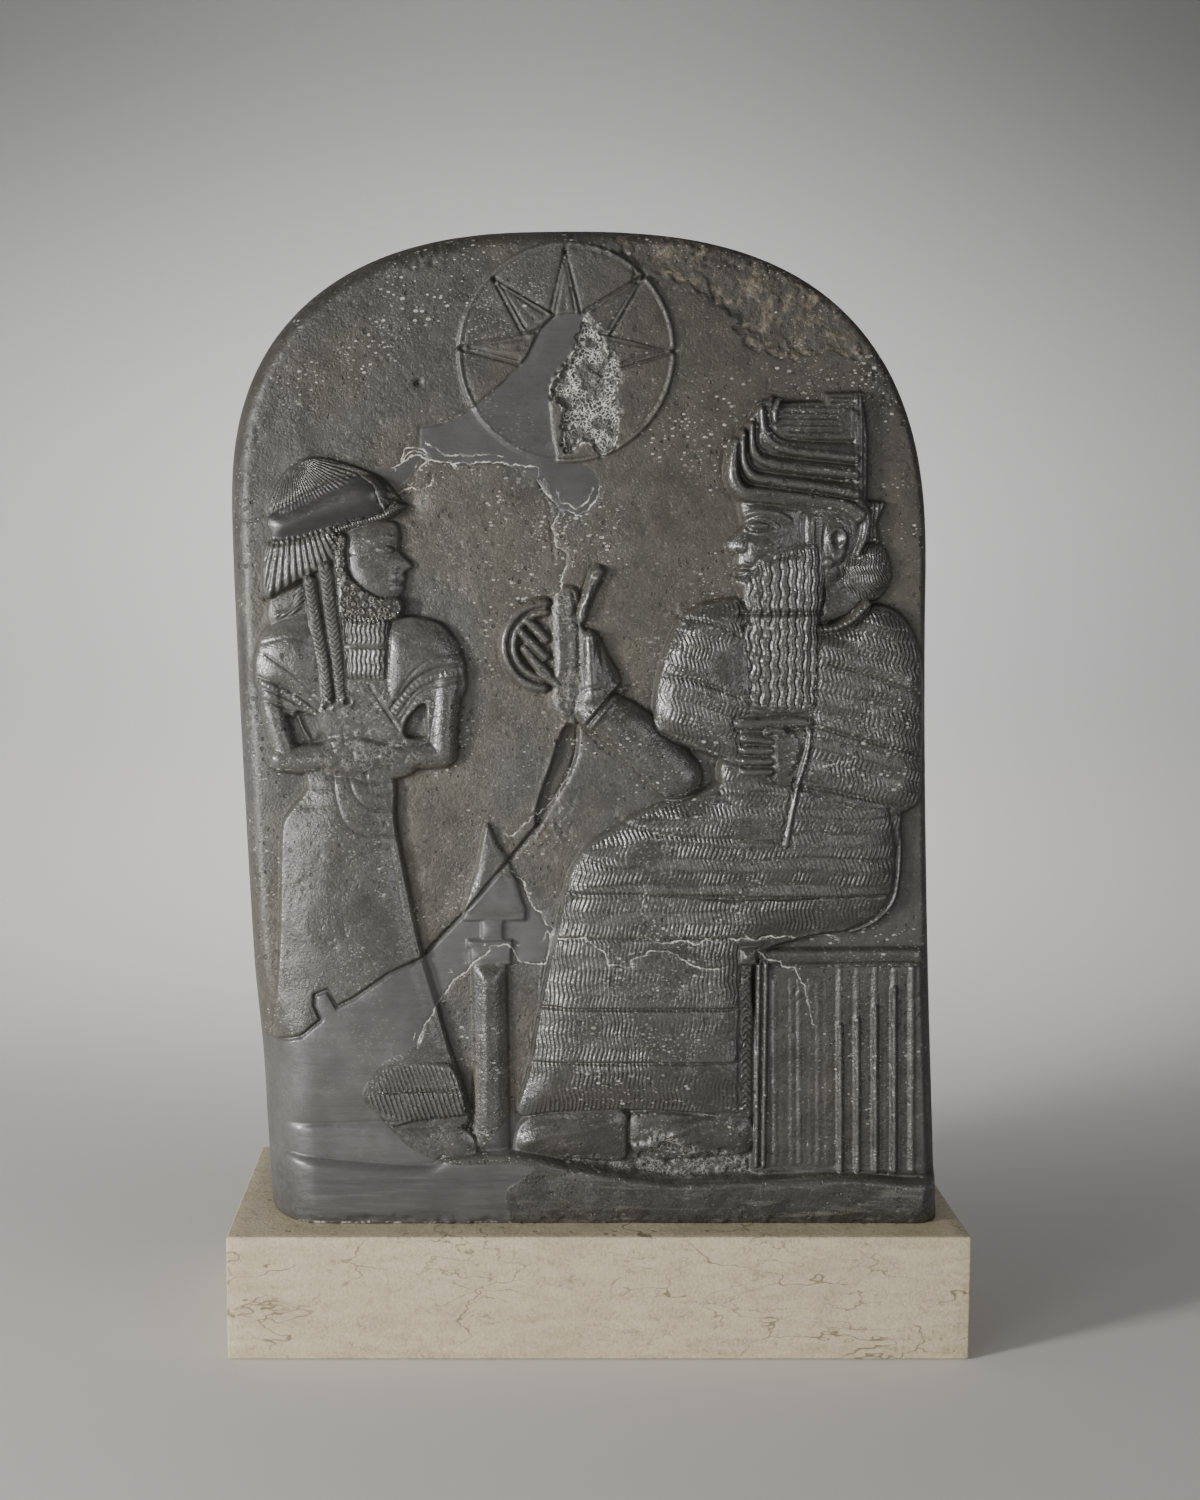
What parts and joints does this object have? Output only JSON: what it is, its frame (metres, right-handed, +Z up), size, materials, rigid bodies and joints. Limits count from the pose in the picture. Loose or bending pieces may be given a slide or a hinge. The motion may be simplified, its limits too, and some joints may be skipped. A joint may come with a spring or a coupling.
{
  "type": "relief stele",
  "caption": "Round-topped dark stone stele carved in low relief with a standing and a seated figure under a star disc, on a low limestone plinth.",
  "frame": {"origin": "middle of the plinth's underside", "axes": "+Z up, the carved face looks along -Y, +X to the viewer's right"},
  "size_m": [0.47, 0.19, 0.7093],
  "materials": {
    "dark_stone": "dark grey hard stone, worn to a dull polish, pitted, cracked and mended with smooth grey fill",
    "pale_limestone": "beige limestone, honed, with thin brown veins and specks"
  },
  "bodies": {
    "root": {"stele": "dark_stone", "plinth": "pale_limestone"}
  },
  "joints": []
}
